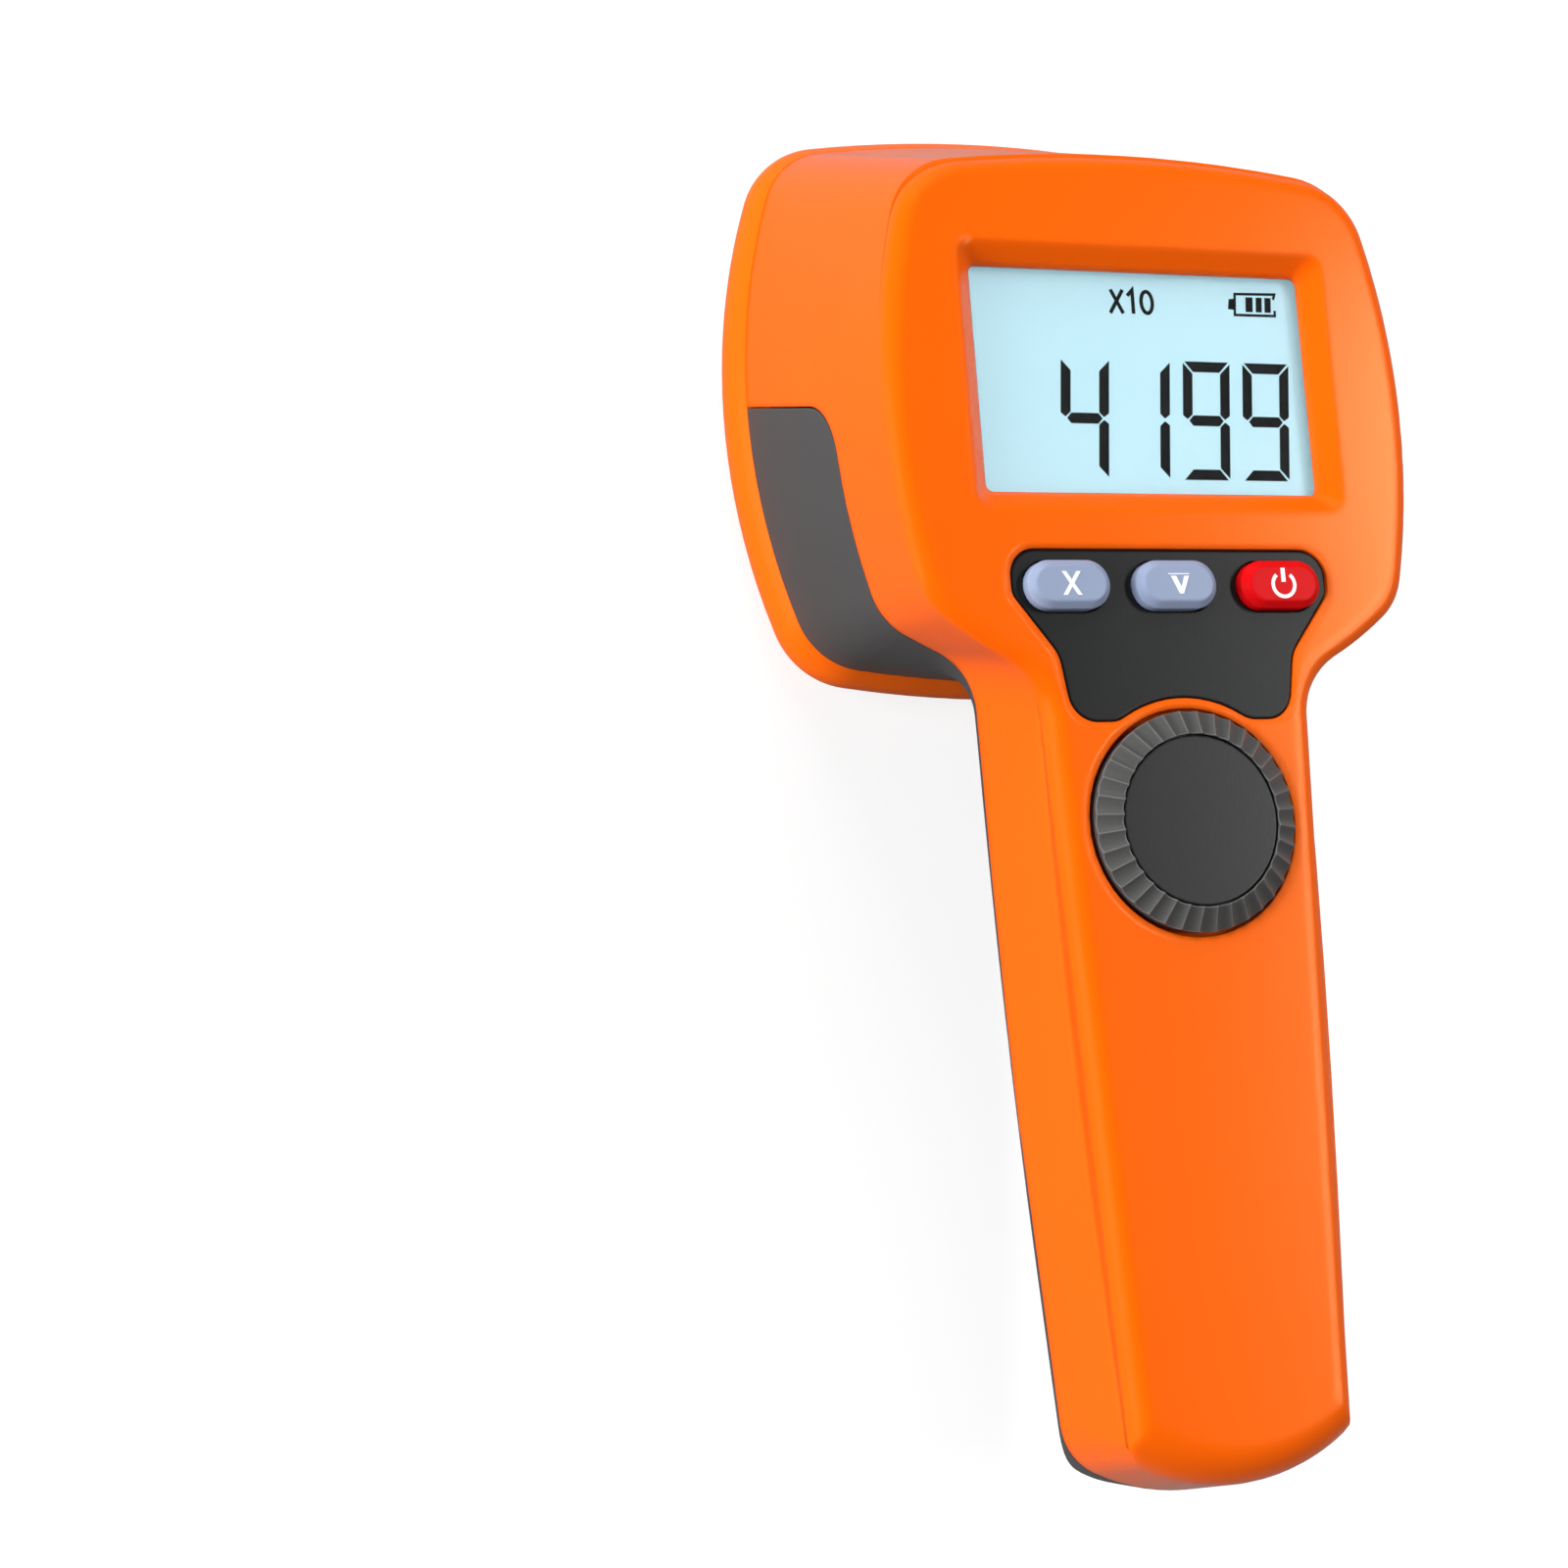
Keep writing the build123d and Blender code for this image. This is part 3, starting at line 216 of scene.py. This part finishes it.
grain_group.links.new(colour.outputs["Color"], grain_out.inputs["Colour"])
grain_group.links.new(gloss.outputs[0], grain_out.inputs["Roughness"])
grain_group.links.new(grain_normal, grain_out.inputs["Normal"])


def moulded(name, colour, roughness, grain, edge, shade=0.03, specular=0.5, sheen=(1, 1, 1)):
    """Moulded plastic. Grain is its scale and depth, edge its radius in millimetres and the strength of its
    painted highlight.
    """
    sockets = {"Specular IOR Level": specular, "Specular Tint": (*sheen, 1)}
    material, tree, shader, output = new_material(name, sockets)
    controls = {
        "Colour": (*colour, 1),
        "Shade": shade,
        "Roughness": roughness,
        "Grain Scale": grain[0],
        "Grain Depth": grain[1],
        "Edge Radius": edge[0] * mm,
        "Edge Highlight": edge[1],
    }
    surface = tree.nodes.new("ShaderNodeGroup")
    surface.name = "grain"
    surface.node_tree = grain_group
    for control, value in controls.items():
        surface.inputs[control].default_value = value
    tree.links.new(surface.outputs["Colour"], shader.inputs["Base Color"])
    tree.links.new(surface.outputs["Roughness"], shader.inputs["Roughness"])
    tree.links.new(surface.outputs["Normal"], shader.inputs["Normal"])
    return material


def dress(material, *node_names):
    """Gives solids their finish."""
    for node_name in node_names:
        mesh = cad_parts[node_name].data
        mesh.materials.clear()
        mesh.materials.append(material)


shell_orange = (0.89, 0.114, 0.0006)
orange_sheen = (1.0, 0.6, 0.24)
shell_gloss = {"shade": 0.02, "specular": 0.42, "sheen": orange_sheen}
dress(moulded("orange shell", shell_orange, 0.18, (2600, 0.06), (1.8, 0.12), **shell_gloss), "front_shell")


# Rear shell: palm side of the handle and lower sides of the head, charcoal ABS with a coarser grain
# and raised finger ridges.
rear_grey = (0.052, 0.052, 0.053)
dress(moulded("charcoal shell", rear_grey, 0.50, (2100, 0.22), (0.5, 0.5)), "rear_shell")


# Lamp bezel: the bumper ring that the instrument lies on, in a smoother orange than the shell.
# Bonded into the shells' mouth by its spigot.
bezel_orange = (0.92, 0.13, 0.0025)
bezel_gloss = {"shade": 0.02, "specular": 0.35, "sheen": orange_sheen}
dress(moulded("orange bumper", bezel_orange, 0.30, (2600, 0.05), (0.5, 0.10), **bezel_gloss), "lamp_bezel")


# Lamp group: grained dark plate with three clear lenses in their collars, each over a yellow diode.
# The collars press the lenses to the plate.
plate_grey = (0.085, 0.085, 0.088)
dress(moulded("lamp plate", plate_grey, 0.55, (1700, 0.25), (0.2, 0.4)), "lamp_plate")
lens_clear = {
    "Base Color": (0.97, 0.98, 0.99, 1),
    "Roughness": 0.03,
    "Transmission Weight": 1.0,
    "IOR": 1.49,
}
# the faint emission on the diodes' phosphor is a painted glow
phosphor_yellow_painted_glow = {
    "Base Color": (0.95, 0.88, 0.12, 1),
    "Roughness": 0.35,
    "Emission Color": (0.95, 0.9, 0.15, 1),
    "Emission Strength": 0.6,
}
collar_yellow = (0.75, 0.72, 0.1)
dress(new_material("lens", lens_clear)[0], "lens_top", "lens_left", "lens_right")
dress(new_material("diode phosphor with painted glow", phosphor_yellow_painted_glow)[0], "led_top", "led_left", "led_right")
dress(
    moulded("lens collar", collar_yellow, 0.35, (2400, 0.08), (0.2, 0.2)),
    "lens_holder_top",
    "lens_holder_left",
    "lens_holder_right",
)


# Display: a clear window bonded under the sloped recess, and behind it a backlit liquid crystal cell
# whose dark segments show a reading, a multiplier and the battery state.
window_clear = {
    "Base Color": (0.97, 0.985, 1.0, 1),
    "Roughness": 0.02,
    "Transmission Weight": 1.0,
    "IOR": 1.18,
}
cell_blue = {
    "Base Color": (0.28, 0.43, 0.48, 1),
    "Roughness": 0.35,
    "Emission Color": (0.50, 0.80, 0.86, 1),
    "Emission Strength": 0.37,
}
ink_black = {"Base Color": (0.002, 0.002, 0.0025, 1), "Roughness": 0.6, "Specular IOR Level": 0.1}
dress(new_material("window", window_clear)[0], "display_window")
dress(new_material("lit cell", cell_blue)[0], "lcd_panel")
ink = new_material("segment ink", ink_black)[0]
ink_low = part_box("lcd_panel")[1].z + 0.01 * mm
ink_thickness = 0.03 * mm
lamp_y = 62.9  # lamp axis, millimetres from the origin


def flat_shapes(name, shapes, low_z, thickness, material, body):
    """Thin raised shapes, each a closed outline of plan points in millimetres from the lamp axis."""
    shape_mesh = bmesh.new()
    for outline in shapes:
        corners = [shape_mesh.verts.new((x * mm, (y + lamp_y) * mm, low_z)) for x, y in outline]
        shape_mesh.faces.new(corners)
    bmesh.ops.recalc_face_normals(shape_mesh, faces=shape_mesh.faces)
    for face in list(shape_mesh.faces):
        if face.normal.z < 0:
            face.normal_flip()
    raised = bmesh.ops.extrude_face_region(shape_mesh, geom=list(shape_mesh.faces))
    for item in raised["geom"]:
        if isinstance(item, bmesh.types.BMVert):
            item.co.z += thickness
    bmesh.ops.recalc_face_normals(shape_mesh, faces=shape_mesh.faces)
    mesh = bpy.data.meshes.new(name)
    shape_mesh.to_mesh(mesh)
    shape_mesh.free()
    mesh.materials.append(material)
    piece = bpy.data.objects.new(name, mesh)
    bpy.context.scene.collection.objects.link(piece)
    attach(piece, body)


digit_width = 8.1
digit_height = 18.6
digit_pitch = 10.35
digit_base_y = -22.4
digit_right_x = 24.4  # right edge of the last digit at its foot
digit_slant = 0.094
bar = 1.65  # width of a segment
half_slit = 0.13  # half of the gap between segments
tip_slit = 2 * half_slit  # the same gap along the digit's edge
low_slit = 1.6 * half_slit


def segment(letter):
    """Outline of one segment of a digit, from the digit's lower left corner, before the slant."""
    right, top, middle, point = digit_width, digit_height, digit_height / 2, bar / 2
    inner_left, inner_right = bar + half_slit, digit_width - bar - half_slit
    if letter == "a":
        return [(tip_slit, top), (right - tip_slit, top), (inner_right, top - bar), (inner_left, top - bar)]
    if letter == "d":
        return [(tip_slit, 0), (inner_left, bar), (inner_right, bar), (right - tip_slit, 0)]
    if letter == "g":
        return [
            (point + tip_slit, middle),
            (inner_left, middle + point),
            (inner_right, middle + point),
            (right - point - tip_slit, middle),
            (inner_right, middle - point),
            (inner_left, middle - point),
        ]
    outline = [
        (0, top - tip_slit),
        (bar, top - bar - tip_slit),
        (bar, middle + point + half_slit),
        (point, middle + low_slit),
        (0, middle + point),
    ]
    if letter in "ce":
        outline = [(x, top - y) for x, y in outline]
    if letter in "bc":
        outline = [(right - x, y) for x, y in outline]
    return outline


lit_segments = {"4": "bcfg", "1": "bc", "9": "abcdfg"}
reading = "4199"
for index, digit in enumerate(reading):
    left_x = digit_right_x - digit_width - digit_pitch * (len(reading) - 1 - index)
    shapes = [
        [(left_x + x + y * digit_slant, digit_base_y + y) for x, y in segment(letter)]
        for letter in lit_segments[digit]
    ]
    flat_shapes(f"digit_{index + 1}", shapes, ink_low, ink_thickness, ink, "housing")


mitre_limit = 0.35  # keeps sharp corners from running out to a spike


def stroke(points, width, closed=False):
    """Quadrilaterals that follow a line of points with mitred joints."""
    count = len(points)
    edges = []
    for i, (x, y) in enumerate(points):
        directions = []
        if closed or i > 0:
            directions.append(Vector((x - points[i - 1][0], y - points[i - 1][1])).normalized())
        if closed or i < count - 1:
            after = points[(i + 1) % count]
            directions.append(Vector((after[0] - x, after[1] - y)).normalized())
        along = sum(directions, Vector((0, 0))).normalized()
        side = Vector((-along.y, along.x))
        square = side.dot(Vector((-directions[0].y, directions[0].x)))
        reach = width / 2 / max(mitre_limit, square)
        edges.append(((x + side.x * reach, y + side.y * reach), (x - side.x * reach, y - side.y * reach)))
    last = count if closed else count - 1
    pairs = [(edges[i], edges[(i + 1) % count]) for i in range(last)]
    return [[start[0], end[0], end[1], start[1]] for start, end in pairs]


def oval(x, y, half_width, half_height, start=0.0, sweep=360.0, steps=32):
    """Points along an oval or a part of it, angles in degrees from the right."""
    spans = steps if sweep == 360.0 else steps - 1
    angles = [radians(start + sweep * i / spans) for i in range(steps)]
    return [(x + half_width * cos(angle), y + half_height * sin(angle)) for angle in angles]


note_low, note_high, note_line = 3.45, 7.15, 0.6
nought_x, nought_half_width = 2.4, 0.95
nought_y, nought_half_height = (note_low + note_high) / 2, (note_high - note_low) / 2 - 0.15
multiplier = (
    stroke([(-3.95, note_low), (-1.6, note_high)], note_line)
    + stroke([(-3.65, note_high), (-1.75, note_low)], note_line)
    + stroke([(-0.85, note_high - 0.9), (0.05, note_high), (0.0, note_low)], note_line)
    + stroke(oval(nought_x, nought_y, nought_half_width, nought_half_height), note_line, True)
)
flat_shapes("multiplier", multiplier, ink_low, ink_thickness, ink, "housing")

battery_line = 0.42
battery_case = [(24.55, 6.5), (24.85, 7.35), (17.85, 7.2), (17.55, 3.85), (24.6, 3.9), (24.65, 4.75)]
battery_pole = [(16.45, 4.75), (17.4, 4.65), (17.6, 6.45), (16.7, 6.35)]
battery_low, battery_high, battery_lean = 4.4, 6.75, 0.2
battery_bars = [
    [
        (x, battery_low),
        (x + width, battery_low),
        (x + width + battery_lean, battery_high),
        (x + battery_lean, battery_high),
    ]
    for x, width in ((19.5, 1.25), (21.3, 1.05), (22.85, 1.1))
]
battery_sign = stroke(battery_case, battery_line) + [battery_pole] + battery_bars
flat_shapes("battery_sign", battery_sign, ink_low, ink_thickness, ink, "housing")


# Control panel and keys: a dark plate bonded in its recess, with two blue-grey keys and a red one that
# stand through it. Each key has a white moulded-in sign and rides on its own plunger.
panel_grey = (0.0095, 0.0102, 0.0105)
key_blue = (0.262, 0.320, 0.465)
key_red = (0.63, 0.004, 0.006)
sign_white = (0.86, 0.88, 0.92)
dress(moulded("panel", panel_grey, 0.30, (2400, 0.08), (0.3, 1.2), specular=0.14), "control_panel")
blue = moulded("blue key", key_blue, 0.33, (1800, 0.04), (0.6, 0.22), specular=0.22)
dress(blue, "multiply_button", "down_button")
dress(moulded("red key", key_red, 0.30, (1800, 0.04), (0.6, 0.25), specular=0.05), "power_button")
sign = moulded("sign white", sign_white, 0.4, (1800, 0.02), (0.0, 0.0))
sign_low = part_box("multiply_button")[1].z + 0.01 * mm
sign_thickness = 0.04 * mm
key_pitch = 17.7
key_y = -39.8

# cross: two crossed bars as one outline, with slanting arms cut off level
arm_x, arm_y, arm_line = 1.2, 1.78, 0.6
arm_reach = arm_line / 2 * (arm_x**2 + arm_y**2) ** 0.5
notch_x, notch_y = arm_reach / arm_y, arm_reach / arm_x
quarter = [(notch_x, 0), (arm_x + notch_x, arm_y), (arm_x - notch_x, arm_y), (0, notch_y)]
half_cross = quarter + [(-x, y) for x, y in reversed(quarter[:3])]
cross = [half_cross + [(x, -y) for x, y in reversed(half_cross[1:-1])]]
arrow = [
    [(-1.35, 1.1), (-0.45, 1.1), (0.3, -0.55), (0.9, 1.1), (1.7, 1.1), (0.6, -1.6), (-0.05, -1.6)],
    [(-1.8, 1.32), (1.8, 1.32), (1.72, 1.48), (-1.72, 1.48)],
]
power_ring = oval(0, -0.2, 1.85, 1.85, start=128, sweep=284, steps=30)
power = stroke(power_ring, 0.56) + stroke([(0, 2.35), (0, 0.2)], 0.7)
for name, shapes, column in (("multiply", cross, -1), ("down", arrow, 0), ("power", power, 1)):
    placed = [[(x + column * key_pitch, y + key_y) for x, y in shape] for shape in shapes]
    flat_shapes(f"{name}_sign", placed, sign_low, sign_thickness, sign, f"{name}_key")


# Knob: a fluted ring with a smooth insert pressed into its crown, turning in the well below the panel.
# Black nylon, the insert a shade darker. The flutes' grooves get painted shade, and their crests a painted
# highlight.
knob_grey = (0.047, 0.047, 0.046)
insert_grey = (0.018, 0.018, 0.018)
groove_width = 1.0 * mm
knob_nylon = moulded("knob", knob_grey, 0.30, (2600, 0.08), (0.30, 2.0))
knob_tree = knob_nylon.node_tree
# occlusion mask: painted shade darkens the grooves, and a painted highlight lightens the crests
groove = shader_node(
    knob_tree, "AmbientOcclusion", {"Distance": groove_width}, samples=8, only_local=True
)
groove_shade_and_highlight_range = {
    "Value": groove.outputs["AO"],
    "From Min": 0.80,
    "From Max": 0.99,
    "To Min": 0.05,
    "To Max": 1.55,
}
groove_shade_and_highlight = shader_node(knob_tree, "MapRange", groove_shade_and_highlight_range).outputs["Result"]
knob_colour = knob_tree.nodes["grain"].outputs["Colour"]
shaded_and_highlit_colour = shader_node(knob_tree, "HueSaturation", {"Value": groove_shade_and_highlight, "Color": knob_colour})
knob_shader = knob_tree.nodes["Principled BSDF"]
knob_tree.links.new(shaded_and_highlit_colour.outputs["Color"], knob_shader.inputs["Base Color"])
dress(knob_nylon, "knob")
dress(moulded("knob insert", insert_grey, 0.28, (2600, 0.08), (0.2, 0.8), specular=0.17), "knob_cap")


# Inner works: boards, switches, encoder, heat sink, battery and screws, seen only with the shells off.
# Steel and aluminium, a lacquered glass-fibre board, nylon parts and a wrapped battery.
steel = {"Base Color": (0.55, 0.55, 0.56, 1), "Metallic": 1.0, "Roughness": 0.35}
aluminium = {"Base Color": (0.62, 0.62, 0.64, 1), "Metallic": 1.0, "Roughness": 0.42}
board_green = (0.015, 0.13, 0.05)
dark_grey = (0.03, 0.03, 0.032)
pale_cream = (0.6, 0.58, 0.52)
wrap_grey = (0.2, 0.22, 0.26)
steel_pieces = ("case_screws", "board_screws", "heat_sink_screws", "encoder_shaft")
dark_pieces = ("encoder_body", "display_frame", "multiply_switch", "down_switch", "power_switch")
pale_pieces = ("multiply_plunger", "down_plunger", "power_plunger", "backlight")
dress(new_material("steel", steel)[0], *steel_pieces)
dress(moulded("circuit board", board_green, 0.4, (900, 0.05), (0.1, 0.1)), "main_board")
dress(new_material("aluminium", aluminium)[0], "heat_sink", "led_board")
dress(moulded("dark nylon", dark_grey, 0.5, (2000, 0.1), (0.2, 0.4)), *dark_pieces)
dress(moulded("pale nylon", pale_cream, 0.5, (2000, 0.1), (0.2, 0.1)), *pale_pieces)
dress(moulded("battery wrap", wrap_grey, 0.35, (700, 0.1), (0.3, 0.2)), "battery_pack")
